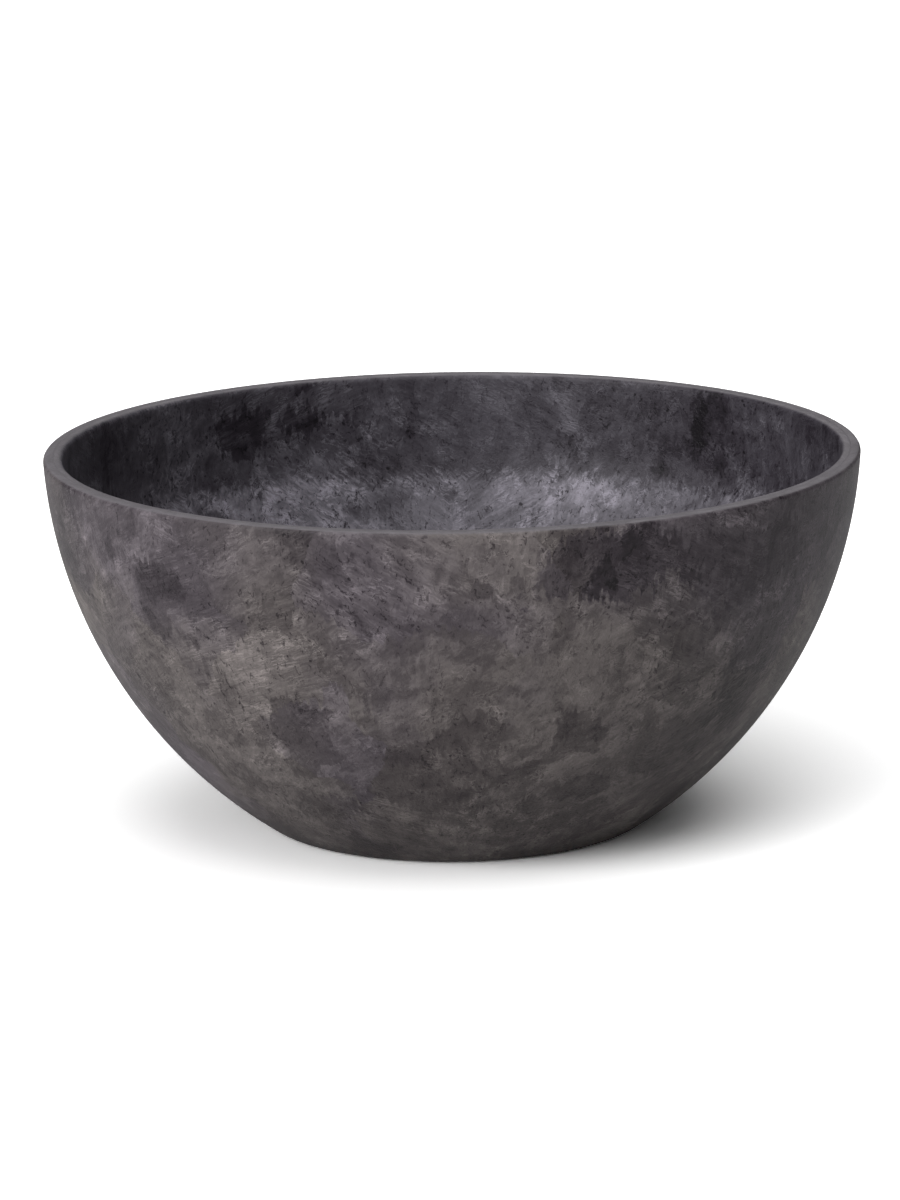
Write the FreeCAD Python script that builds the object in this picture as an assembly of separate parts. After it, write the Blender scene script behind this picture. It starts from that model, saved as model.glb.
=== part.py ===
import FreeCAD, Part
import math
import os

# Bowl planter: a moulded stone-composite bowl with a water reservoir under a lift-out drainage plate.
# Millimetres. +Z is up. The origin is the centre of the foot, on the surface that the bowl stands on.

# Bowl
rim_diameter = 400.0
foot_diameter = 183.0  # across the foot's outer corner, before it is rounded
bowl_height = 186.0
wall_bulge = 26.0  # how far the wall bows out from a straight cone between foot and rim
wall_thickness = 3.6
rim_width = 9.6  # the rim is thicker than the wall, and its inside stands upright
rim_band_round = 60.0  # where the rim's upright inside runs into the curved wall
floor_thickness = 6.0
rim_outer_round = 2.0
rim_inner_round = 2.5
foot_round = 15.0
floor_round = 20.0  # between the floor and the wall, inside

# Underside of the foot
foot_ring_width = 20.0
recess_depth = 14.0
recess_draft = 10.0  # degrees
recess_round = 3.0
weep_groove_width = 12.0  # lets drained water run out from under the foot
weep_groove_depth = 2.5

# Drain: grommet, overflow pipe and plug
pipe_diameter = 24.0
pipe_wall = 1.5
water_depth = 20.0  # above the floor, up to the top of the overflow pipe
weir_notch_width = 4.0
weir_notch_depth = 5.0
pipe_collar_width = 3.0
pipe_collar_thickness = 2.0
grommet_wall = 2.5
grommet_flange_width = 4.0
grommet_flange_thickness = 2.5
push_fit_clearance = 0.05
plug_shank_length = 8.0
plug_head_diameter = 30.0
plug_head_thickness = 2.0
plug_fin_depth = 1.0
plug_fin_width = 2.0
plug_grip_length = 22.0
plug_grip_thickness = 3.5
plug_grip_ground_gap = 1.0

# Drainage plate
overflow_air_gap = 10.0  # between the top of the overflow pipe and the plate
plate_thickness = 2.5
plate_edge_gap = 2.5
plate_lip_height = 7.0
plate_lip_thickness = 2.0
rib_pairs = 4  # each pair is one rib across the whole plate
rib_thickness = 2.0
rib_depth = 4.0
drain_hole_diameter = 6.5
drain_hole_pitch = 19.0
drain_ring_spacing = 19.0
finger_hole_length = 34.0
finger_hole_width = 20.0
finger_hole_margin = 2.5
drain_hole_margin = 1.5

# Legs of the plate
leg_count = 4
leg_foot_diameter = 22.0
leg_foot_thickness = 2.5
leg_base_diameter = 15.0
leg_top_diameter = 11.0
leg_core_diameter = 6.0
leg_spigot_diameter = 7.0
leg_wall_gap = 2.0  # from the leg's foot to where the floor starts to curve up
boss_wall = 2.5
boss_depth = 8.0
spigot_end_gap = 1.0

origin = FreeCAD.Vector(0, 0, 0)
up = FreeCAD.Vector(0, 0, 1)

# Places that several pieces share
rim_radius = rim_diameter / 2
foot_radius = foot_diameter / 2
floor_level = recess_depth + floor_thickness
pipe_radius = pipe_diameter / 2
pipe_bore_radius = pipe_radius - pipe_wall
drain_radius = pipe_radius + grommet_wall
plug_seat_level = recess_depth - grommet_flange_thickness
pipe_top_level = floor_level + water_depth
plate_bottom = pipe_top_level + overflow_air_gap
plate_top = plate_bottom + plate_thickness
boss_bottom = plate_bottom - boss_depth
sector_angle = math.pi / rib_pairs  # between one rib and the next
# the finger holes lie on the X axis, as near to the middle as the ribs on both sides of them allow
finger_hole_reach = (finger_hole_length + rib_thickness) / 2 + finger_hole_margin
finger_hole_reach /= math.sin(sector_angle / 2)

# The wall's outside and inside are arcs about one centre
wall_chord = math.hypot(rim_radius - foot_radius, bowl_height)
outer_curve = (wall_chord ** 2 / 4 + wall_bulge ** 2) / (2 * wall_bulge)
inner_curve = outer_curve - wall_thickness
cone_lean = math.atan2(rim_radius - foot_radius, bowl_height)
curve_centre_radius = (rim_radius + foot_radius) / 2 - (outer_curve - wall_bulge) * math.cos(cone_lean)
curve_centre_level = bowl_height / 2 + (outer_curve - wall_bulge) * math.sin(cone_lean)
curve_centre = FreeCAD.Vector(curve_centre_radius, 0, curve_centre_level)


def at(radius, level):
    return FreeCAD.Vector(radius, 0, level)


def reach(curve, level):
    # radius, at one level, of an arc about the wall's centre
    return curve_centre_radius + math.sqrt(curve ** 2 - (curve_centre_level - level) ** 2)


def line(start, end):
    return Part.LineSegment(start, end).toShape()


def arc_about(centre, start, end):
    towards_middle = (start - centre) + (end - centre)
    middle = centre + towards_middle.normalize() * (start - centre).Length
    return Part.Arc(start, middle, end).toShape()


def on_wall(curve, near):
    # the point of a wall arc that lies in the direction of another point
    return curve_centre + (near - curve_centre).normalize() * curve


def rounded(before, corner, after, radius):
    # the rounding between two straight runs: where it starts, ends and is centred
    to_before = (before - corner).normalize()
    to_after = (after - corner).normalize()
    half_angle = to_before.getAngle(to_after) / 2
    run = radius / math.tan(half_angle)
    centre = corner + (to_before + to_after).normalize() * (radius / math.sin(half_angle))
    return corner + to_before * run, corner + to_after * run, centre


def revolved(edges):
    return Part.Face(Part.Wire(edges)).revolve(origin, up, 360)


def turned(points):
    # a turned piece from the corners of its half section
    closed = points + points[:1]
    return revolved([line(start, end) for start, end in zip(closed, closed[1:])])


def spread(shape, count, first_angle=0.0):
    # copies of a shape at equal angles about the bowl's axis
    return [shape.rotated(origin, up, first_angle + 360 * index / count) for index in range(count)]


def slot_prism(length, width, bottom, top):
    # an upright prism with round ends, its length along Y
    side = width / 2
    straight = (length - width) / 2
    front_left = FreeCAD.Vector(-side, -straight, bottom)
    front_right = FreeCAD.Vector(side, -straight, bottom)
    back_right = FreeCAD.Vector(side, straight, bottom)
    back_left = FreeCAD.Vector(-side, straight, bottom)
    front = FreeCAD.Vector(0, -straight - side, bottom)
    back = FreeCAD.Vector(0, straight + side, bottom)
    edges = [
        Part.Arc(front_left, front, front_right).toShape(),
        line(front_right, back_right),
        Part.Arc(back_right, back, back_left).toShape(),
        line(back_left, front_left),
    ]
    return Part.Face(Part.Wire(edges)).extrude(up * (top - bottom))


# The rounding between floor and wall starts where the flat floor ends
floor_round_centre = at(reach(inner_curve - floor_round, floor_level + floor_round), floor_level + floor_round)
flat_floor_radius = floor_round_centre.x
leg_circle_radius = flat_floor_radius - leg_wall_gap - leg_foot_diameter / 2
first_leg_angle = 180 / leg_count
socket_radius = leg_spigot_diameter / 2 + push_fit_clearance
boss_radius = socket_radius + boss_wall


def bowl_shell():
    recess_mouth = at(foot_radius - foot_ring_width, 0)
    recess_corner = at(recess_mouth.x - recess_depth * math.tan(math.radians(recess_draft)), recess_depth)
    drain_bottom = at(drain_radius, recess_depth)
    drain_top = at(drain_radius, floor_level)
    recess_start, recess_end, recess_centre = rounded(drain_bottom, recess_corner, recess_mouth, recess_round)

    foot_centre = at(reach(outer_curve - foot_round, foot_round), foot_round)
    foot_start = at(foot_centre.x, 0)
    foot_end = on_wall(outer_curve, foot_centre)

    rim_outer_level = bowl_height - rim_outer_round
    rim_outer_centre = at(reach(outer_curve - rim_outer_round, rim_outer_level), rim_outer_level)
    rim_outer_start = on_wall(outer_curve, rim_outer_centre)
    rim_outer_end = at(rim_outer_centre.x, bowl_height)

    rim_inner_radius = rim_radius - rim_width
    rim_inner_centre = at(rim_inner_radius + rim_inner_round, bowl_height - rim_inner_round)
    rim_inner_start = at(rim_inner_centre.x, bowl_height)
    rim_inner_end = at(rim_inner_radius, rim_inner_centre.z)
    band_across = rim_inner_radius - rim_band_round - curve_centre_radius
    band_drop = math.sqrt((inner_curve - rim_band_round) ** 2 - band_across ** 2)
    band_centre = at(rim_inner_radius - rim_band_round, curve_centre_level - band_drop)
    band_start = at(rim_inner_radius, band_centre.z)
    band_end = on_wall(inner_curve, band_centre)

    floor_round_start = on_wall(inner_curve, floor_round_centre)
    floor_round_end = at(flat_floor_radius, floor_level)

    shell = revolved([
        line(drain_bottom, recess_start),
        arc_about(recess_centre, recess_start, recess_end),
        line(recess_end, recess_mouth),
        line(recess_mouth, foot_start),
        arc_about(foot_centre, foot_start, foot_end),
        arc_about(curve_centre, foot_end, rim_outer_start),
        arc_about(rim_outer_centre, rim_outer_start, rim_outer_end),
        line(rim_outer_end, rim_inner_start),
        arc_about(rim_inner_centre, rim_inner_start, rim_inner_end),
        line(rim_inner_end, band_start),
        arc_about(band_centre, band_start, band_end),
        arc_about(curve_centre, band_end, floor_round_start),
        arc_about(floor_round_centre, floor_round_start, floor_round_end),
        line(floor_round_end, drain_top),
        line(drain_top, drain_bottom),
    ])

    # one round-topped groove across the foot ring, from side to side
    groove_radius = (weep_groove_width ** 2 / 4 + weep_groove_depth ** 2) / (2 * weep_groove_depth)
    groove_start = FreeCAD.Vector(-rim_radius, 0, weep_groove_depth - groove_radius)
    groove = Part.makeCylinder(groove_radius, rim_diameter, groove_start, FreeCAD.Vector(1, 0, 0))
    return shell.cut(groove)


def drain_grommet():
    bore = pipe_radius + push_fit_clearance
    neck = drain_radius - push_fit_clearance
    flange = drain_radius + grommet_flange_width
    return turned([
        at(bore, recess_depth - grommet_flange_thickness),
        at(flange, recess_depth - grommet_flange_thickness),
        at(flange, recess_depth),
        at(neck, recess_depth),
        at(neck, floor_level),
        at(flange, floor_level),
        at(flange, floor_level + grommet_flange_thickness),
        at(bore, floor_level + grommet_flange_thickness),
    ])


def overflow_pipe():
    collar_bottom = floor_level + grommet_flange_thickness
    collar_top = collar_bottom + pipe_collar_thickness
    collar = pipe_radius + pipe_collar_width
    pipe = turned([
        at(pipe_bore_radius, plug_seat_level),
        at(pipe_radius, plug_seat_level),
        at(pipe_radius, collar_bottom),
        at(collar, collar_bottom),
        at(collar, collar_top),
        at(pipe_radius, collar_top),
        at(pipe_radius, pipe_top_level),
        at(pipe_bore_radius, pipe_top_level),
    ])
    # notches at the top, so that the water still gets in under anything that lies on the pipe
    notch = slot_prism(2 * pipe_diameter, weir_notch_width, pipe_top_level - weir_notch_depth, pipe_top_level)
    return pipe.cut(Part.makeCompound([notch, notch.rotated(origin, up, 90)]))


def drain_plug():
    head = plug_head_diameter / 2
    head_bottom = plug_seat_level - plug_head_thickness
    shank_top = plug_seat_level + plug_shank_length
    fin = pipe_bore_radius - push_fit_clearance
    core = fin - plug_fin_depth
    fin_levels = [plug_seat_level + plug_shank_length * share for share in (1 / 3, 2 / 3)]
    section = [at(0, head_bottom), at(head, head_bottom), at(head, plug_seat_level), at(core, plug_seat_level)]
    for level in fin_levels:
        section.append(at(core, level - plug_fin_width / 2))
        section.append(at(fin, level))
        section.append(at(core, level + plug_fin_width / 2))
    section.append(at(core, shank_top - plug_fin_depth))
    section.append(at(core - plug_fin_depth, shank_top))
    section.append(at(0, shank_top))
    grip = slot_prism(plug_grip_length, plug_grip_thickness, plug_grip_ground_gap, head_bottom)
    return turned(section).fuse(grip).removeSplitter()


def drainage_plate():
    edge_curve = inner_curve - plate_edge_gap
    lip_curve = edge_curve - plate_lip_thickness
    lip_top = plate_top + plate_lip_height
    edge_bottom = at(reach(edge_curve, plate_bottom), plate_bottom)
    edge_top = at(reach(edge_curve, lip_top), lip_top)
    lip_inner_top = at(reach(lip_curve, lip_top), lip_top)
    lip_inner_bottom = at(reach(lip_curve, plate_top), plate_top)
    dish = revolved([
        line(at(0, plate_bottom), edge_bottom),
        arc_about(curve_centre, edge_bottom, edge_top),
        line(edge_top, lip_inner_top),
        arc_about(curve_centre, lip_inner_top, lip_inner_bottom),
        line(lip_inner_bottom, at(0, plate_top)),
        line(at(0, plate_top), at(0, plate_bottom)),
    ])

    # ribs across the plate, one round rib through the legs' bosses, and the bosses
    rib_bottom = plate_bottom - rib_depth
    rib_end = reach(edge_curve, rib_bottom)
    rib_corner = FreeCAD.Vector(-rib_end, -rib_thickness / 2, rib_bottom)
    rib = Part.makeBox(2 * rib_end, rib_thickness, rib_depth, rib_corner)
    ribs = spread(rib, 2 * rib_pairs, math.degrees(sector_angle / 2))[:rib_pairs]
    ring_inside = leg_circle_radius - rib_thickness / 2
    ring_outside = leg_circle_radius + rib_thickness / 2
    ring_rib = turned([
        at(ring_inside, rib_bottom),
        at(ring_outside, rib_bottom),
        at(ring_outside, plate_bottom),
        at(ring_inside, plate_bottom),
    ])
    boss = Part.makeCylinder(boss_radius, boss_depth, at(leg_circle_radius, boss_bottom), up)
    socket = Part.makeCylinder(socket_radius, boss_depth, at(leg_circle_radius, boss_bottom), up)
    plate = dish.fuse(ribs + [ring_rib] + spread(boss, leg_count, first_leg_angle))

    finger_hole = slot_prism(finger_hole_length, finger_hole_width, rib_bottom, plate_top)
    finger_hole.translate(FreeCAD.Vector(finger_hole_reach, 0, 0))
    cuts = spread(socket, leg_count, first_leg_angle) + spread(finger_hole, 2) + drain_holes(lip_inner_bottom.x)
    return plate.cut(Part.makeCompound(cuts)).removeSplitter()


def clear_of_bosses(x, y, room):
    for index in range(leg_count):
        angle = math.radians(first_leg_angle + 360 * index / leg_count)
        boss_x = leg_circle_radius * math.cos(angle)
        boss_y = leg_circle_radius * math.sin(angle)
        if math.hypot(x - boss_x, y - boss_y) < boss_radius + room:
            return False
    return True


def clear_of_finger_holes(x, y, room):
    past_straight = max(0, abs(y) - (finger_hole_length - finger_hole_width) / 2)
    return math.hypot(abs(x) - finger_hole_reach, past_straight) > finger_hole_width / 2 + room


def drain_holes(plate_flat_radius):
    # rings of holes between the ribs, on both sides of the round rib
    hole_radius = drain_hole_diameter / 2
    room = hole_radius + drain_hole_margin
    ring_radii = []
    for side in (-1, 1):
        ring_radius = leg_circle_radius + side * drain_ring_spacing / 2
        while drain_ring_spacing < ring_radius < plate_flat_radius - room:
            ring_radii.append(ring_radius)
            ring_radius += side * drain_ring_spacing
    holes = []
    for ring_radius in ring_radii:
        per_sector = max(1, int(ring_radius * sector_angle / drain_hole_pitch))
        hole_angle = sector_angle / per_sector
        for index in range(2 * rib_pairs * per_sector):
            angle = (index + 0.5) * hole_angle - sector_angle / 2
            x = ring_radius * math.cos(angle)
            y = ring_radius * math.sin(angle)
            if clear_of_bosses(x, y, room) and clear_of_finger_holes(x, y, room):
                place = FreeCAD.Vector(x, y, plate_bottom)
                holes.append(Part.makeCylinder(hole_radius, plate_thickness, place, up))
    return holes


def plate_leg():
    foot = leg_foot_diameter / 2
    foot_top = floor_level + leg_foot_thickness
    foot_bevel = leg_foot_thickness / 2
    spigot_top = plate_bottom - spigot_end_gap
    core = leg_core_diameter / 2
    core_top = boss_bottom - core
    leg = turned([
        at(core, floor_level),
        at(foot, floor_level),
        at(foot, foot_top - foot_bevel),
        at(foot - foot_bevel, foot_top),
        at(leg_base_diameter / 2, foot_top),
        at(leg_top_diameter / 2, boss_bottom),
        at(leg_spigot_diameter / 2, boss_bottom),
        at(leg_spigot_diameter / 2, spigot_top),
        at(0, spigot_top),
        at(0, core_top + core),
        at(core, core_top),
    ])
    leg.translate(FreeCAD.Vector(leg_circle_radius, 0, 0))
    return leg


nodes = {
    "bowl_shell": bowl_shell(),
    "drain_grommet": drain_grommet(),
    "overflow_pipe": overflow_pipe(),
    "drain_plug": drain_plug(),
    "drainage_plate": drainage_plate(),
}
for number, leg in enumerate(spread(plate_leg(), leg_count, first_leg_angle), start=1):
    nodes["plate_leg_%d" % number] = leg

os.makedirs("parts", exist_ok=True)
for name, shape in nodes.items():
    shape.exportStep("parts/%s.step" % name)
    print(name, "valid" if shape.isValid() else "not valid", len(shape.Solids), round(shape.Volume / 1000, 2), "cm3")
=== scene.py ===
import bpy
import bmesh
import math
from mathutils import Matrix, Vector


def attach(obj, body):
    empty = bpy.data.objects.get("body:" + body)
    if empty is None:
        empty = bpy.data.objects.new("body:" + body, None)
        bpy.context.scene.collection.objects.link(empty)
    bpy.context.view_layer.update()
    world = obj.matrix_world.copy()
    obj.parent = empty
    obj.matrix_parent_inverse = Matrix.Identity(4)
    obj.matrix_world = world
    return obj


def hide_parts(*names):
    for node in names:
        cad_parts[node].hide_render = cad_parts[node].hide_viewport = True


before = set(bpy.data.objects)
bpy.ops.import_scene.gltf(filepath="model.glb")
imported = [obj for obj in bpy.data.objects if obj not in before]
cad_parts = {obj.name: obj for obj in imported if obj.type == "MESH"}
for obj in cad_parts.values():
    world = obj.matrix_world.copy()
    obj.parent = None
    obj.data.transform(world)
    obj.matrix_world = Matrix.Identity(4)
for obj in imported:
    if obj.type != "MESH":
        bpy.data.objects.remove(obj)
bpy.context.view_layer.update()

mm = 0.001  # the scene is in metres, sizes below are in millimetres


def perMm(size):  # texture scale for a pattern of this size, on coordinates in metres
    return 1000.0 / size


def linear(hexCode):  # sRGB hex to linear RGBA
    channels = [int(hexCode[i:i + 2], 16) / 255 for i in (1, 3, 5)]
    return [c / 12.92 if c <= 0.04045 else ((c + 0.055) / 1.055) ** 2.4 for c in channels] + [1.0]


def addNode(tree, kind, inputs=None, **settings):  # inputs are values, sockets or nodes
    node = tree.nodes.new("ShaderNode" + kind)
    for name, value in settings.items():
        setattr(node, name, value)
    for key, value in (inputs or {}).items():
        if isinstance(value, bpy.types.Node):
            value = next(output for output in value.outputs if output.enabled)  # its first output
        if isinstance(value, bpy.types.NodeSocket):
            tree.links.new(value, node.inputs[key])
        else:
            node.inputs[key].default_value = value
    return node


def between(edges):  # the stretch of a pattern's values that a step runs across
    return {"From Min": edges[0], "From Max": edges[1]}


def newMaterial(name):
    material = bpy.data.materials.new(name)
    material.use_nodes = True
    tree = material.node_tree
    return material, tree, tree.nodes["Principled BSDF"]


# Bowl: the wall's outside and inside are arcs about one centre, as in the frame's own solid
bowl = {
    "rimRadius": 200.0, "footRadius": 91.5, "height": 186.0, "wallBulge": 26.0, "wall": 3.6, "floor": 6.0,
    "rimWidth": 9.6, "bandRound": 60.0,
    "recessDepth": 14.0, "recessDraft": 10.0, "recessRound": 3.0, "footRing": 20.0,
    "footRound": 15.0, "floorRound": 20.0, "rimOuterRound": 2.0, "rimInnerRound": 2.5,
    "drainRadius": 14.5, "grooveWidth": 12.0, "grooveDepth": 2.5,
    "wallStep": 2.4, "baseStep": 6.0, "roundStep": 0.9, "turns": 384,
    "wrapRadius": 150.0, "poleRadius": 90.0, "sharpAngle": 35.0,
    # bandEnd and bandFade: where the dish's painted light starts below the inner band; rimEdge and rimFade:
    # the rim top with its painted highlight
    "bandEnd": 143.0, "bandFade": 16.0, "rimEdge": 0.8, "rimFade": 0.6, "rimFlat": 0.1,
}


def bowlProfile(bm):
    size = {key: value * mm for key, value in bowl.items()}
    rimRadius, height = size["rimRadius"], size["height"]
    reachOut = rimRadius - size["footRadius"]
    chord = math.hypot(reachOut, height)
    outer = (chord ** 2 / 4 + size["wallBulge"] ** 2) / (2 * size["wallBulge"])
    inner = outer - size["wall"]
    lean = math.atan2(reachOut, height)
    towards = outer - size["wallBulge"]
    centre = Vector(((rimRadius + size["footRadius"]) / 2 - towards * math.cos(lean), 0,
                     height / 2 + towards * math.sin(lean)))

    def roundCentre(curve, level):  # centre of a rounding that touches a wall arc
        return Vector((centre.x + math.sqrt(curve ** 2 - (centre.z - level) ** 2), 0, level))

    def onWall(curve, near):
        return centre + (near - centre).normalized() * curve

    def runTo(vert, point, step):  # straight run of even edges
        start = vert.co.copy()
        steps = math.ceil((point - start).length / step)
        for done in range(steps):
            vert = bmesh.ops.extrude_vert_indiv(bm, verts=[vert])["verts"][0]
            vert.co = start.lerp(point, (done + 1) / steps)
        return vert

    def curveTo(vert, about, point, step):  # arc about a centre
        start = vert.co - about
        end = point - about
        turn = math.atan2(start.z, start.x) - math.atan2(end.z, end.x)
        steps = max(3, math.ceil(abs(turn) * start.length / step))
        spun = bmesh.ops.spin(bm, geom=[vert], cent=about, axis=(0, 1, 0), angle=turn, steps=steps)
        return next(item for item in spun["geom_last"] if isinstance(item, bmesh.types.BMVert))

    floorLevel = size["recessDepth"] + size["floor"]
    footCentre = roundCentre(outer - size["footRound"], size["footRound"])
    rimOuterCentre = roundCentre(outer - size["rimOuterRound"], height - size["rimOuterRound"])
    bandRadius = rimRadius - size["rimWidth"]
    rimInnerCentre = Vector((bandRadius + size["rimInnerRound"], 0, height - size["rimInnerRound"]))
    bandCentre = Vector((bandRadius - size["bandRound"], 0, 0))
    bandCentre.z = centre.z - math.sqrt((inner - size["bandRound"]) ** 2 - (bandCentre.x - centre.x) ** 2)
    floorCentre = roundCentre(inner - size["floorRound"], floorLevel + size["floorRound"])
    mouth = Vector((size["footRadius"] - size["footRing"], 0, 0))
    draft = math.radians(bowl["recessDraft"])
    corner = Vector((mouth.x - size["recessDepth"] * math.tan(draft), 0, size["recessDepth"]))
    cornerRun = size["recessRound"] / math.tan((math.pi / 2 + draft) / 2)
    cornerCentre = Vector((corner.x - cornerRun, 0, corner.z - size["recessRound"]))
    cornerEnd = corner + (mouth - corner).normalized() * cornerRun

    vert = bm.verts.new((size["drainRadius"], 0, size["recessDepth"]))
    first = vert
    vert = runTo(vert, cornerCentre + Vector((0, 0, size["recessRound"])), size["baseStep"])
    vert = curveTo(vert, cornerCentre, cornerEnd, size["roundStep"])
    vert = runTo(vert, mouth, size["roundStep"] * 2)
    vert = runTo(vert, Vector((footCentre.x, 0, 0)), size["roundStep"] * 2)
    vert = curveTo(vert, footCentre, onWall(outer, footCentre), size["roundStep"])
    vert = curveTo(vert, centre, onWall(outer, rimOuterCentre), size["wallStep"])
    rimTop = rimOuterCentre + Vector((0, 0, size["rimOuterRound"]))
    vert = curveTo(vert, rimOuterCentre, rimTop, size["roundStep"])
    vert = runTo(vert, Vector((rimInnerCentre.x, 0, height)), size["roundStep"])
    vert = curveTo(vert, rimInnerCentre, Vector((bandRadius, 0, rimInnerCentre.z)), size["roundStep"])
    vert = runTo(vert, Vector((bandRadius, 0, bandCentre.z)), size["wallStep"])
    vert = curveTo(vert, bandCentre, onWall(inner, bandCentre), size["wallStep"])
    vert = curveTo(vert, centre, onWall(inner, floorCentre), size["wallStep"])
    vert = curveTo(vert, floorCentre, Vector((floorCentre.x, 0, floorLevel)), size["wallStep"])
    vert = runTo(vert, Vector((size["drainRadius"], 0, floorLevel)), size["baseStep"])
    return first, vert


def makeBowl():
    bm = bmesh.new()
    along = bm.verts.layers.float.new("along")  # distance along the half section, for the finish
    first, last = bowlProfile(bm)
    vert, edge = first, None
    while vert != last:
        edge = next(e for e in vert.link_edges if e != edge)
        ahead = edge.other_vert(vert)
        ahead[along] = vert[along] + edge.calc_length()
        vert = ahead
    bm.edges.new((last, first))
    bmesh.ops.spin(bm, geom=bm.verts[:] + bm.edges[:], cent=(0, 0, 0), axis=(0, 0, 1),
                   angle=2 * math.pi, steps=bowl["turns"], use_merge=True)
    bmesh.ops.recalc_face_normals(bm, faces=bm.faces)
    print("bowl turned:", len(bm.faces), "faces")

    grooveWidth, grooveDepth = bowl["grooveWidth"] * mm, bowl["grooveDepth"] * mm
    grooveRadius = (grooveWidth ** 2 / 4 + grooveDepth ** 2) / (2 * grooveDepth)
    for vert in bm.verts:  # weep groove pressed across the foot ring
        if abs(vert.co.y) < grooveWidth / 2 and vert.co.z < grooveDepth:
            roof = grooveDepth - grooveRadius + math.sqrt(grooveRadius ** 2 - vert.co.y ** 2)
            vert.co.z = max(vert.co.z, roof)

    mesh = bpy.data.meshes.new("bowl")
    for face in bm.faces:
        face.smooth = True
    for edge in bm.edges:
        edge.smooth = edge.calc_face_angle(0) < math.radians(bowl["sharpAngle"])
    bm.to_mesh(mesh)
    mesh.attributes.new("lay", "FLOAT_VECTOR", "POINT")  # the wall stretched over a drum
    mesh.attributes.new("finish", "FLOAT_COLOR", "POINT")  # rim top (plain, with a painted highlight), dish below the band (painted light), inside
    along, lay, finish = (mesh.attributes[name] for name in ("along", "lay", "finish"))
    topLevel = (bowl["height"] - bowl["rimFlat"]) * mm
    top = [distance.value for vertex, distance in zip(mesh.vertices, along.data) if vertex.co.z > topLevel]
    rimAlong = (min(top) + max(top)) / 2
    for vertex, distance, drum, part in zip(mesh.vertices, along.data, lay.data, finish.data):
        radius = math.hypot(vertex.co.x, vertex.co.y)
        wrap = bowl["wrapRadius"] / max(radius, bowl["poleRadius"] * mm) * mm
        drum.vector = (vertex.co.x * wrap, vertex.co.y * wrap, distance.value)
        inside = distance.value > rimAlong
        # the rim's flat top: drawn plain, and paler as a painted highlight
        rim = min(max((vertex.co.z / mm - bowl["height"] + bowl["rimEdge"]) / bowl["rimFade"], 0), 1)
        # painted light: the dish below the inner band, where the overhead light falls, is marked to be drawn
        # paler
        dish = min(max((bowl["bandEnd"] - vertex.co.z / mm) / bowl["bandFade"], 0), 1)
        part.color = (rim, dish if inside else 0, 1 if inside else 0, 1)
    bm.free()
    piece = bpy.data.objects.new("bowl", mesh)
    bpy.context.collection.objects.link(piece)
    return piece
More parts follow.
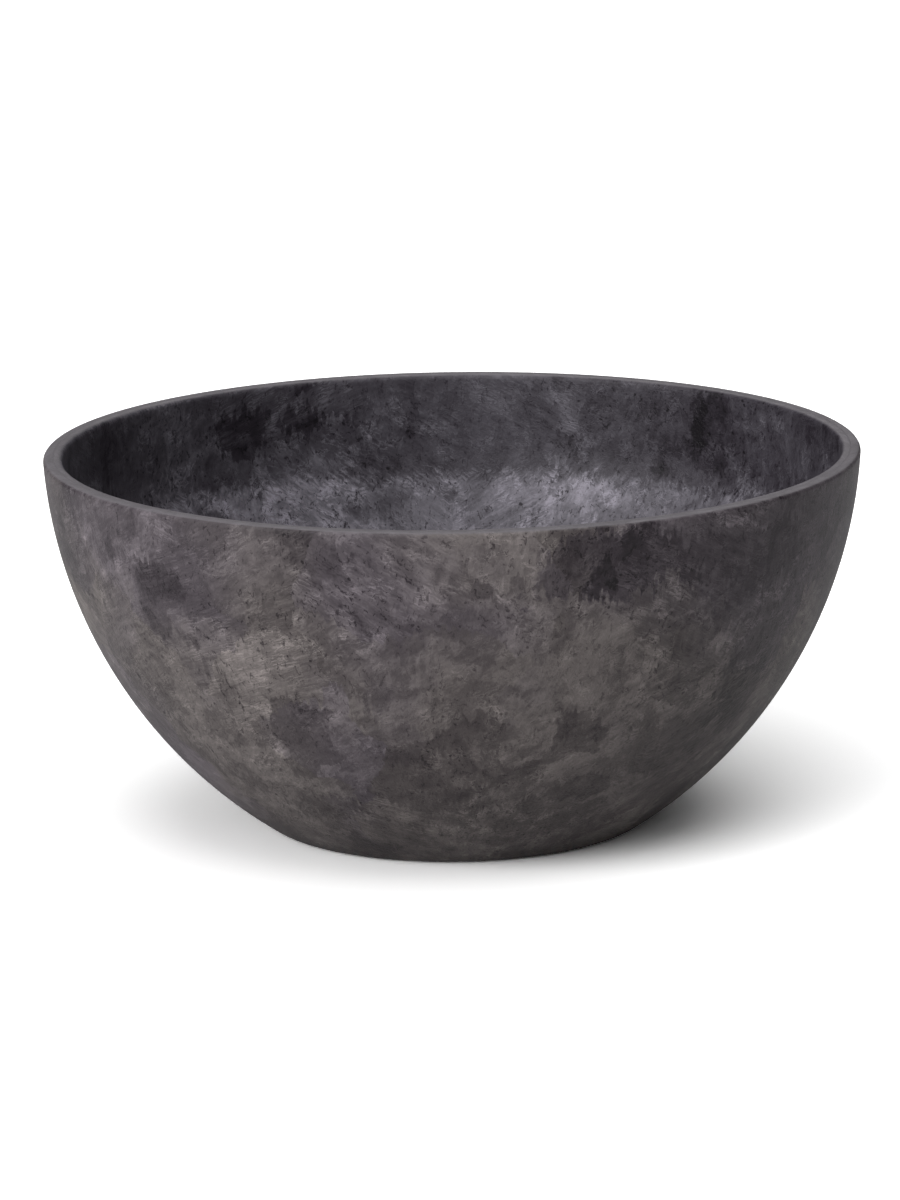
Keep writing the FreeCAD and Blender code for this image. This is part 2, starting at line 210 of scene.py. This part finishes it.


# Stone powder in resin, trowelled into the mould by hand: overlapping smears of grey slurry, each with its
# own tone and drag direction, feathered by short strokes, with dark ragged skins, small torn pits and a satin
# face. The grain is drawn coarser than stone powder, so that it shows. Marks are the smears and stains that
# stand out, and one painted highlight in the dish: azimuth, distance along the half section, half width, half
# height, softness of the edge and change of tone.
stone = {
    "skin": "#110e11", "dark": "#2b282b", "mid": "#484748", "pale": "#656565", "chalk": "#949494",
    "darkAt": 0.25, "midAt": 0.5, "paleAt": 0.7,
    "warmCast": "#fff1ee", "coolCast": "#fdeef9", "innerCast": "#f5eefe", "rimCast": "#fbf3fc",
    "swaySize": 48.0, "swayReach": 46.0, "dragWidth": 2.2, "dragLength": 13.0, "dragReach": 6.0,
    "tearSize": 7.0, "tearReach": 9.0, "strokeTear": 6.0, "pitTear": 4.0, "markSway": 0.5, "markDrag": 1.8,
    "smearSize": 66.0, "massSize": 130.0, "blotSize": 60.0, "blotShift": (0.7, 0.2, 0.4), "zoneSize": 44.0,
    "patchSize": 26.0, "dashSize": 11.0, "flakeSize": 10.0, "mottleSize": 7.0, "curlSize": 5.0,
    "speckSize": 2.6, "grainSize": 1.4, "strokeWidth": 1.6, "strokeLength": 7.0, "slant": 16.0,
    "pitSpacing": 6.0, "pitReach": 0.25, "pitShare": (0.5, 1.0), "pitEdge": 0.06,
    "even": (0.3, 0.7), "patchEdge": (0.48, 0.53), "chipEdge": (0.55, 0.57), "gapEdge": (0.44, 0.42),
    "speckEdge": (0.4, 0.32), "blotEdge": (0.59, 0.61), "ridgeEdge": (0.08, 0.01), "dashEdge": (0.45, 0.6),
    "zoneEdge": (0.4, 0.6), "zoneRange": (0.4, 0.95), "zoneInDish": 0.35,
    "fringe": 0.18, "fringeEdge": (0.3, 0.75), "dishPaintedLight": 0.25, "rimToneAndHighlight": 0.7, "rimMottle": 0.06,
    "smearTone": (0.44, 0.57), "warmHeight": (120.0, 300.0), "warmRange": (0.7, -0.2),
    "roughTone": (0.1, 0.8), "roughRange": (0.5, 0.6), "ior": 1.3, "bump": 0.45, "bumpDepth": 0.2,
    "busyWeights": {"strokes": 0.07, "ridge": 0.2, "speck": -0.32, "pit": -0.4, "mottle": 0.04},
    # across is painted shade: it darkens the right side
    "toneWeights": {"mass": 0.05, "patch": 0.045, "flake": 0.04, "mottle": 0.055, "grain": 0.015,
                    "blot": -0.15, "across": -0.45, "stainsAndHighlight": 1.0, "inside": -0.05},
    "warmWeights": {"mass": 1.0, "smearCast": 1.0, "stainsAndHighlight": 3.0},
    "reliefWeights": {"grain": 0.5, "strokes": 0.4, "ridge": 1.2, "pit": -2.0, "patch": 0.3, "flake": 0.4,
                      "curl": 1.0},
    "marks": (
        (-68, 296, 30, 19, 0.12, -0.17), (-45, 288, 38, 22, 0.15, -0.12), (-45, 185, 46, 46, 0.6, -0.14),
        (-69, 288, 6, 10, 0.3, -0.16), (-57, 285, 6, 6, 0.3, -0.14), (-80, 290, 2.4, 22, 0.4, -0.14),
        (-100, 204, 20, 18, 0.3, -0.08), (-103, 233, 9, 13, 0.4, -0.06), (-117, 152, 22, 10, 0.2, -0.1),
        (-137, 262, 1.2, 26, 0.5, -0.12), (-83, 206, 9, 15, 0.4, -0.06), (-95, 272, 26, 16, 0.6, -0.05),
        (-52, 244, 30, 18, 0.4, 0.07), (-126, 250, 24, 20, 0.4, 0.06), (-152, 265, 22, 45, 0.7, 0.06),
        (-139, 262, 30, 32, 0.6, 0.05), (-92, 140, 45, 26, 0.6, 0.05), (124, 345, 12, 14, 0.15, -0.22),
        (113, 347, 13, 7, 0.15, -0.2), (156, 340, 18, 16, 0.3, -0.12), (49, 343, 5, 20, 0.3, -0.2),
        (18, 330, 12, 10, 0.3, -0.05), (62, 355, 18, 12, 0.4, 0.06), (30, 345, 32, 26, 0.7, 0.09),
        # painted highlight: the first mark on the next line lightens the dish right of the middle, where the
        # key light's sheen falls
        (70, 383, 32, 24, 0.8, 0.2), (104, 384, 26, 20, 0.6, -0.13), (108, 356, 18, 14, 0.5, -0.12),
    ),
}


def trowelledStone():
    material, tree, shader = newMaterial("trowelled_stone_composite")
    half = (0.5, 0.5, 0.5)  # the middle of a noise's values
    even = {**between(stone["even"]), "To Min": -1.0, "To Max": 1.0}  # noise spread about nought
    lay = addNode(tree, "Attribute", attribute_name="lay").outputs["Vector"]
    finish = addNode(tree, "Attribute", attribute_name="finish").outputs["Color"]
    rim, dish, inside = addNode(tree, "SeparateColor", {0: finish}).outputs
    apart = addNode(tree, "CombineXYZ", {"Z": inside})  # the inside has a pattern of its own
    place = addNode(tree, "TexCoord").outputs["Object"]
    place = addNode(tree, "VectorMath", {0: place, 1: apart}, operation="ADD")

    # a slow sway, short drags and tears that make the edges of every mass ragged
    sway = addNode(tree, "TexNoise", {"Vector": place, "Scale": perMm(stone["swaySize"]), "Detail": 2.0})
    sway = addNode(tree, "VectorMath", {0: sway.outputs["Color"], 1: half}, operation="SUBTRACT")
    reach = [stone["swayReach"] * mm] * 3
    swayed = addNode(tree, "VectorMath", {0: sway, 1: reach, 2: place}, operation="MULTIPLY_ADD")
    narrow = [perMm(stone["dragWidth"])] * 2 + [perMm(stone["dragLength"])]
    thin = addNode(tree, "VectorMath", {0: lay, 1: narrow}, operation="MULTIPLY")
    drag = addNode(tree, "TexNoise", {"Vector": thin, "Scale": 1.0, "Detail": 2.0})
    drag = addNode(tree, "MapRange", {"Value": drag, **between(stone["even"]),
                                      "To Max": stone["dragReach"] * mm})
    drag = addNode(tree, "CombineXYZ", {"Z": drag})
    tear = addNode(tree, "TexNoise", {"Vector": place, "Scale": perMm(stone["tearSize"]), "Detail": 4.0,
                                      "Roughness": 0.65})
    tear = addNode(tree, "VectorMath", {0: tear.outputs["Color"], 1: half}, operation="SUBTRACT")
    reach = [stone["tearReach"] * mm] * 3
    drag = addNode(tree, "VectorMath", {0: tear, 1: reach, 2: drag}, operation="MULTIPLY_ADD")
    torn = addNode(tree, "VectorMath", {0: swayed, 1: drag}, operation="ADD")

    # smears, each with its own tone and slant
    smear = addNode(tree, "TexVoronoi", {"Vector": torn, "Scale": perMm(stone["smearSize"])})
    smearTone, smearSlant, smearCast = addNode(tree, "SeparateColor", {0: smear.outputs["Color"]}).outputs
    height = addNode(tree, "SeparateXYZ", {0: lay}).outputs["Z"]
    slant = addNode(tree, "MapRange", {"Value": smearSlant, "To Min": -stone["slant"],
                                       "To Max": stone["slant"]})
    slant = addNode(tree, "Math", {0: slant, 1: height}, operation="MULTIPLY")
    slanted = addNode(tree, "VectorRotate", {"Vector": lay, "Angle": slant}, rotation_type="Z_AXIS")
    reach = [stone["strokeTear"] * mm] * 3
    slanted = addNode(tree, "VectorMath", {0: tear, 1: reach, 2: slanted}, operation="MULTIPLY_ADD")
    reach = [stone["markSway"] * stone["swayReach"] * mm] * 3
    spread = addNode(tree, "VectorMath", {0: sway, 1: reach, 2: lay}, operation="MULTIPLY_ADD")
    reach = [stone["markDrag"]] * 3
    spread = addNode(tree, "VectorMath", {0: drag, 1: reach, 2: spread}, operation="MULTIPLY_ADD")
    # the marks: smears and stains, and one painted highlight in the dish
    stainsAndHighlight = 0.0
    for azimuth, level, width, tall, edge, shift in stone["marks"]:
        angle = math.radians(azimuth)
        drum = bowl["wrapRadius"]
        middle = Vector((drum * math.cos(angle), drum * math.sin(angle), level)) * mm
        mark = addNode(tree, "Mapping", {"Vector": spread, "Location": middle,
                                         "Scale": (width * mm, width * mm, tall * mm)}, vector_type="TEXTURE")
        mark = addNode(tree, "TexGradient", {"Vector": mark}, gradient_type="SPHERICAL")
        mark = addNode(tree, "MapRange", {"Value": mark, "From Max": edge}, interpolation_type="SMOOTHSTEP")
        stainsAndHighlight = addNode(tree, "Math", {0: mark, 1: shift, 2: stainsAndHighlight}, operation="MULTIPLY_ADD")

    # strokes of the trowel, and light curls where the slurry was dabbed
    narrow = [perMm(stone["strokeWidth"])] * 2 + [perMm(stone["strokeLength"])]
    fine = addNode(tree, "VectorMath", {0: slanted, 1: narrow}, operation="MULTIPLY")
    strokes = addNode(tree, "TexNoise", {"Vector": fine, "Scale": 1.0, "Detail": 2.0, "Roughness": 0.55})
    strokes = addNode(tree, "MapRange", {"Value": strokes, **even})
    fringe = {0: strokes, 1: stone["fringe"], 2: dish}  # strokes fray the edge of the dish under the band
    dish = addNode(tree, "Math", fringe, operation="MULTIPLY_ADD")
    dish = addNode(tree, "MapRange", {"Value": dish, **between(stone["fringeEdge"])})
    curl = addNode(tree, "TexNoise", {"Vector": slanted, "Scale": perMm(stone["curlSize"]), "Detail": 1.5,
                                      "Distortion": 1.5})
    ridge = addNode(tree, "Math", {0: curl, 1: 0.5}, operation="SUBTRACT")
    ridge = addNode(tree, "Math", {0: ridge}, operation="ABSOLUTE")
    ridge = addNode(tree, "MapRange", {"Value": ridge, **between(stone["ridgeEdge"])})
    dash = addNode(tree, "TexNoise", {"Vector": place, "Scale": perMm(stone["dashSize"]), "Detail": 1.0})
    dash = addNode(tree, "MapRange", {"Value": dash, **between(stone["dashEdge"])})
    ridge = addNode(tree, "Math", {0: ridge, 1: dash}, operation="MULTIPLY")
    zone = addNode(tree, "TexNoise", {"Vector": torn, "Scale": perMm(stone["zoneSize"]), "Detail": 2.0})
    zone = addNode(tree, "MapRange", {"Value": zone, **between(stone["zoneEdge"]),
                                      "To Min": stone["zoneRange"][0], "To Max": stone["zoneRange"][1]})
    zone = addNode(tree, "Math", {0: dish, 1: stone["zoneInDish"], 2: zone}, operation="MULTIPLY_ADD")

    # masses of lighter and darker slurry, ragged patches, mottle, grain, specks, black skins and pits
    mass = addNode(tree, "TexNoise", {"Vector": torn, "Scale": perMm(stone["massSize"]), "Detail": 2.0})
    mass = addNode(tree, "MapRange", {"Value": mass, **even})
    patch = addNode(tree, "TexNoise", {"Vector": torn, "Scale": perMm(stone["patchSize"]), "Detail": 3.0})
    patch = addNode(tree, "MapRange", {"Value": patch, **even, **between(stone["patchEdge"])})
    flake = addNode(tree, "TexNoise", {"Vector": torn, "Scale": perMm(stone["flakeSize"]), "Detail": 3.0})
    chip = addNode(tree, "MapRange", {"Value": flake, **between(stone["chipEdge"])})
    gap = addNode(tree, "MapRange", {"Value": flake, **between(stone["gapEdge"])})
    flake = addNode(tree, "Math", {0: chip, 1: gap}, operation="SUBTRACT")
    mottle = addNode(tree, "TexNoise", {"Vector": slanted, "Scale": perMm(stone["mottleSize"]), "Detail": 4.0,
                                        "Roughness": 0.65})
    mottle = addNode(tree, "MapRange", {"Value": mottle, **even})
    speck = addNode(tree, "TexNoise", {"Vector": torn, "Scale": perMm(stone["speckSize"]), "Detail": 2.0})
    speck = addNode(tree, "MapRange", {"Value": speck, **between(stone["speckEdge"])})
    elsewhere = addNode(tree, "VectorMath", {0: torn, 1: stone["blotShift"]}, operation="ADD")
    blot = addNode(tree, "TexNoise", {"Vector": elsewhere, "Scale": perMm(stone["blotSize"]), "Detail": 4.0})
    blot = addNode(tree, "MapRange", {"Value": blot, **between(stone["blotEdge"])})
    grain = addNode(tree, "TexNoise", {"Vector": place, "Scale": perMm(stone["grainSize"]), "Detail": 2.0})
    grain = addNode(tree, "MapRange", {"Value": grain, **even})
    reach = [stone["pitTear"] * mm] * 3
    frayed = addNode(tree, "VectorMath", {0: tear, 1: reach, 2: place}, operation="MULTIPLY_ADD")
    pit = addNode(tree, "TexVoronoi", {"Vector": frayed, "Scale": perMm(stone["pitSpacing"])})
    pitSize = addNode(tree, "MapRange", {"Value": pit.outputs["Color"], **between(stone["pitShare"]),
                                         "To Max": stone["pitReach"]})
    pit = addNode(tree, "Math", {0: pitSize, 1: pit.outputs["Distance"]}, operation="SUBTRACT")
    pit = addNode(tree, "MapRange", {"Value": pit, "From Max": stone["pitEdge"]})

    across = addNode(tree, "SeparateXYZ", {0: place}).outputs["X"]  # painted shade: the tone falls towards +X, the right side, which the key light from the left leaves in shade
    layers = {"strokes": strokes, "ridge": ridge, "speck": speck, "pit": pit, "mottle": mottle, "mass": mass,
              "patch": patch, "flake": flake, "grain": grain, "blot": blot, "curl": curl, "across": across,
              "stainsAndHighlight": stainsAndHighlight, "inside": inside, "smearCast": smearCast}

    def addLayers(total, weights):
        for name, weight in weights.items():
            total = addNode(tree, "Math", {0: layers[name], 1: weight, 2: total}, operation="MULTIPLY_ADD")
        return total

    tone = addNode(tree, "MapRange", {"Value": smearTone, "To Min": stone["smearTone"][0],
                                      "To Max": stone["smearTone"][1]})
    busy = addLayers(0.0, stone["busyWeights"])
    tone = addNode(tree, "Math", {0: busy, 1: zone, 2: tone}, operation="MULTIPLY_ADD")
    tone = addLayers(tone, stone["toneWeights"])
    # the rim's flat top is plain, without the pattern, and paler: a painted highlight where the overhead
    # light falls on it
    plain = {0: mottle, 1: stone["rimMottle"], 2: stone["rimToneAndHighlight"]}
    plain = addNode(tree, "Math", plain, operation="MULTIPLY_ADD")
    tone = addNode(tree, "Mix", {"Factor": rim, 2: tone, 3: plain})
    # painted light: the dish below the inner band is drawn paler, as if lit by the overhead light
    tone = addNode(tree, "Math", {0: dish, 1: stone["dishPaintedLight"], 2: tone}, operation="MULTIPLY_ADD")

    ramp = addNode(tree, "ValToRGB", {"Fac": tone})
    stops = [(0.0, "skin"), (stone["darkAt"], "dark"), (stone["midAt"], "mid"), (stone["paleAt"], "pale"),
             (1.0, "chalk")]
    for position, shade in stops[1:-1]:
        ramp.color_ramp.elements.new(position)
    for element, (position, shade) in zip(ramp.color_ramp.elements, stops):
        element.position = position
        element.color = linear(stone[shade])
    warmHeight = between([level * mm for level in stone["warmHeight"]])
    warm = addNode(tree, "MapRange", {"Value": height, **warmHeight, "To Min": stone["warmRange"][0],
                                      "To Max": stone["warmRange"][1]})
    warm = addLayers(warm, stone["warmWeights"])
    cast = addNode(tree, "Mix", {"Factor": warm, 6: linear(stone["coolCast"]), 7: linear(stone["warmCast"])},
                   data_type="RGBA", clamp_factor=True)
    cast = addNode(tree, "Mix", {"Factor": inside, 6: cast, 7: linear(stone["innerCast"])}, data_type="RGBA")
    cast = addNode(tree, "Mix", {"Factor": rim, 6: cast, 7: linear(stone["rimCast"])}, data_type="RGBA")
    colour = addNode(tree, "Mix", {"Factor": 1.0, 6: ramp.outputs["Color"], 7: cast},
                     data_type="RGBA", blend_type="MULTIPLY")

    relief = addLayers(0.0, stone["reliefWeights"])
    bump = addNode(tree, "Bump", {"Height": relief, "Strength": stone["bump"],
                                  "Distance": stone["bumpDepth"] * mm})
    rough = addNode(tree, "MapRange", {"Value": tone, **between(stone["roughTone"]),
                                       "To Min": stone["roughRange"][0], "To Max": stone["roughRange"][1]})
    tree.links.new(colour.outputs[2], shader.inputs["Base Color"])
    tree.links.new(rough.outputs[0], shader.inputs["Roughness"])
    tree.links.new(bump.outputs[0], shader.inputs["Normal"])
    shader.inputs["IOR"].default_value = stone["ior"]
    return material


# Injection-moulded polypropylene, black, with a fine spark-eroded texture that breaks up the highlights; its
# grain is drawn coarser than the real one, so that it shows
plastic = {
    "black": "#17171a", "worn": "#26262a", "grain": 0.9, "haze": 35.0, "hazeEdge": (0.3, 0.7),
    "roughRange": (0.38, 0.55), "bump": 0.25, "bumpDepth": 0.1, "ior": 1.49,
}


def mouldedPlastic():
    material, tree, shader = newMaterial("moulded_black_polypropylene")
    place = addNode(tree, "TexCoord").outputs["Object"]
    grain = addNode(tree, "TexNoise", {"Vector": place, "Scale": perMm(plastic["grain"]), "Detail": 2.0})
    haze = addNode(tree, "TexNoise", {"Vector": place, "Scale": perMm(plastic["haze"]), "Detail": 3.0})
    colour = addNode(tree, "Mix", {"Factor": haze, 6: linear(plastic["black"]), 7: linear(plastic["worn"])},
                     data_type="RGBA")
    rough = addNode(tree, "MapRange", {"Value": haze, **between(plastic["hazeEdge"]),
                                       "To Min": plastic["roughRange"][0],
                                       "To Max": plastic["roughRange"][1]})
    bump = addNode(tree, "Bump", {"Height": grain, "Strength": plastic["bump"],
                                  "Distance": plastic["bumpDepth"] * mm})
    tree.links.new(colour.outputs[2], shader.inputs["Base Color"])
    tree.links.new(rough.outputs[0], shader.inputs["Roughness"])
    tree.links.new(bump.outputs[0], shader.inputs["Normal"])
    shader.inputs["IOR"].default_value = plastic["ior"]
    return material


# Moulded rubber: dull black with a little bloom, and a grain that is drawn coarse enough to show
rubber = {
    "black": "#141414", "bloom": "#2b2a29", "grain": 0.6, "bloomSize": 12.0, "bloomEdge": (0.45, 0.75),
    "roughness": 0.75, "bump": 0.3, "bumpDepth": 0.1, "ior": 1.5,
}


def mouldedRubber():
    material, tree, shader = newMaterial("moulded_black_rubber")
    place = addNode(tree, "TexCoord").outputs["Object"]
    bloom = addNode(tree, "TexNoise", {"Vector": place, "Scale": perMm(rubber["bloomSize"]), "Detail": 4.0})
    grain = addNode(tree, "TexNoise", {"Vector": place, "Scale": perMm(rubber["grain"]), "Detail": 2.0})
    amount = addNode(tree, "MapRange", {"Value": bloom, **between(rubber["bloomEdge"])})
    colour = addNode(tree, "Mix", {"Factor": amount, 6: linear(rubber["black"]), 7: linear(rubber["bloom"])},
                     data_type="RGBA")
    bump = addNode(tree, "Bump", {"Height": grain, "Strength": rubber["bump"],
                                  "Distance": rubber["bumpDepth"] * mm})
    tree.links.new(colour.outputs[2], shader.inputs["Base Color"])
    tree.links.new(bump.outputs[0], shader.inputs["Normal"])
    shader.inputs["Roughness"].default_value = rubber["roughness"]
    shader.inputs["IOR"].default_value = rubber["ior"]
    return material


def dressNode(name, material):
    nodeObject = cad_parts[name]
    nodeObject.data.materials.clear()
    nodeObject.data.materials.append(material)


bowlPiece = makeBowl()
bowlPiece.data.materials.append(trowelledStone())
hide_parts("bowl_shell")
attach(bowlPiece, "bowl")
print("bowl finished:", len(bowlPiece.data.polygons), "faces")

blackPlastic = mouldedPlastic()
blackRubber = mouldedRubber()
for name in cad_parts:
    if name in ("drain_grommet", "drain_plug"):
        dressNode(name, blackRubber)
    elif name != "bowl_shell":
        dressNode(name, blackPlastic)
print("insert and drain finished")

# Stage, in metres: white floor, clear from below and open under the foot, with soft lights at the left, in
# front, overhead and behind, and a light from below for the underside
stage = {
    "floorSize": 60.0, "floorOpening": 0.085, "floorSides": 96, "floorColour": "#dedede", "floorSeen": 2.04,
    "dome": 0.05, "domeLow": 0.12, "domeHigh": 0.4, "below": 1.0,
    "keyAzimuth": 220.0, "keyElevation": 21.0, "keyAngle": 38.0, "keyStrength": 2.4,
    "frontAzimuth": 260.0, "frontElevation": 36.0, "frontAngle": 60.0, "frontStrength": 1.0,
    "topAzimuth": 300.0, "topElevation": 80.0, "topAngle": 60.0, "topStrength": 1.7,
    "backAzimuth": 80.0, "backElevation": 45.0, "backAngle": 50.0, "backStrength": 0.4,
}


def softLight(name):
    lamp = bpy.data.lights.new(name, "SUN")
    lamp.energy = stage[name + "Strength"]
    lamp.angle = math.radians(stage[name + "Angle"])
    light = bpy.data.objects.new(name, lamp)
    bpy.context.collection.objects.link(light)
    azimuth, elevation = math.radians(stage[name + "Azimuth"]), math.radians(stage[name + "Elevation"])
    towards = Vector((math.cos(elevation) * math.cos(azimuth), math.cos(elevation) * math.sin(azimuth),
                      math.sin(elevation)))
    light.rotation_mode = "QUATERNION"
    light.rotation_quaternion = towards.to_track_quat("Z", "Y")


def makeStage():
    bm = bmesh.new()
    ends = [bm.verts.new((reach, 0, 0)) for reach in (stage["floorOpening"], stage["floorSize"] / 2)]
    bm.edges.new(ends)
    bmesh.ops.spin(bm, geom=bm.verts[:] + bm.edges[:], cent=(0, 0, 0), axis=(0, 0, 1),
                   angle=2 * math.pi, steps=stage["floorSides"], use_merge=True)
    bm.normal_update()
    bmesh.ops.reverse_faces(bm, faces=[face for face in bm.faces if face.normal.z < 0])
    mesh = bpy.data.meshes.new("floor")
    bm.to_mesh(mesh)
    bm.free()
    floor = bpy.data.objects.new("floor", mesh)
    bpy.context.collection.objects.link(floor)
    material, tree, shader = newMaterial("white_floor")
    tree.nodes.remove(shader)
    seen = addNode(tree, "LightPath").outputs["Is Camera Ray"]
    paint = linear(stage["floorColour"])
    bright = [channel * stage["floorSeen"] for channel in paint[:3]] + [1.0]  # the open floor shows white
    colour = addNode(tree, "Mix", {"Factor": seen, 6: paint, 7: bright}, data_type="RGBA")
    matt = addNode(tree, "BsdfDiffuse", {"Color": colour})
    behind = addNode(tree, "NewGeometry").outputs["Backfacing"]
    both = addNode(tree, "MixShader", {0: behind, 1: matt, 2: addNode(tree, "BsdfTransparent")})
    tree.links.new(both.outputs[0], tree.nodes["Material Output"].inputs["Surface"])
    mesh.materials.append(material)

    for name in ("key", "front", "top", "back"):
        softLight(name)
    world = bpy.data.worlds.new("studio")
    bpy.context.scene.world = world
    world.use_nodes = True
    tree = world.node_tree
    towards = addNode(tree, "SeparateXYZ", {0: addNode(tree, "TexCoord").outputs["Generated"]}).outputs["Z"]
    dome = between((stage["domeLow"], stage["domeHigh"]))
    level = addNode(tree, "MapRange", {"Value": towards, **dome, "To Max": stage["dome"]},
                    interpolation_type="SMOOTHSTEP")
    under = addNode(tree, "Math", {0: towards, 1: 0.0}, operation="LESS_THAN")
    level = addNode(tree, "Math", {0: under, 1: stage["below"], 2: level}, operation="MULTIPLY_ADD")
    seen = addNode(tree, "LightPath").outputs["Is Camera Ray"]
    level = addNode(tree, "Mix", {"Factor": seen, 2: level, 3: 1.0})
    tree.links.new(level.outputs[0], tree.nodes["Background"].inputs["Strength"])
    tree.nodes["Background"].inputs["Color"].default_value = (1, 1, 1, 1)


makeStage()

# Camera: a long lens a little above the rim, as in the photograph of 900 by 1200 pixels
camera = {
    "distance": 3.2, "elevation": 13.05, "roll": 0.81, "aimHeight": 0.092, "focalPixels": 6493.2,
    "aimPixelX": 454.4, "aimPixelY": 634.3, "imageWidth": 900.0, "imageHeight": 1200.0, "sensor": 36.0,
    "farthest": 200.0,
}


def makeCamera():
    lens = bpy.data.cameras.new("camera")
    lens.sensor_width = camera["sensor"]
    lens.sensor_fit = "AUTO"
    lens.lens = camera["focalPixels"] / camera["imageHeight"] * camera["sensor"]
    lens.shift_x = (camera["imageWidth"] / 2 - camera["aimPixelX"]) / camera["imageHeight"]
    lens.shift_y = (camera["aimPixelY"] - camera["imageHeight"] / 2) / camera["imageHeight"]
    lens.clip_end = camera["farthest"]
    seat = bpy.data.objects.new("camera", lens)
    bpy.context.collection.objects.link(seat)
    elevation = math.radians(camera["elevation"])
    back = Vector((0, -math.cos(elevation), math.sin(elevation)))
    seat.rotation_mode = "QUATERNION"
    roll = Matrix.Rotation(math.radians(-camera["roll"]), 4, "Z").to_quaternion()
    seat.rotation_quaternion = (-back).to_track_quat("-Z", "Y") @ roll
    seat.location = Vector((0, 0, camera["aimHeight"])) + back * camera["distance"]
    bpy.context.scene.camera = seat


makeCamera()
bpy.context.scene.view_settings.view_transform = "Standard"
print("stage and camera set")
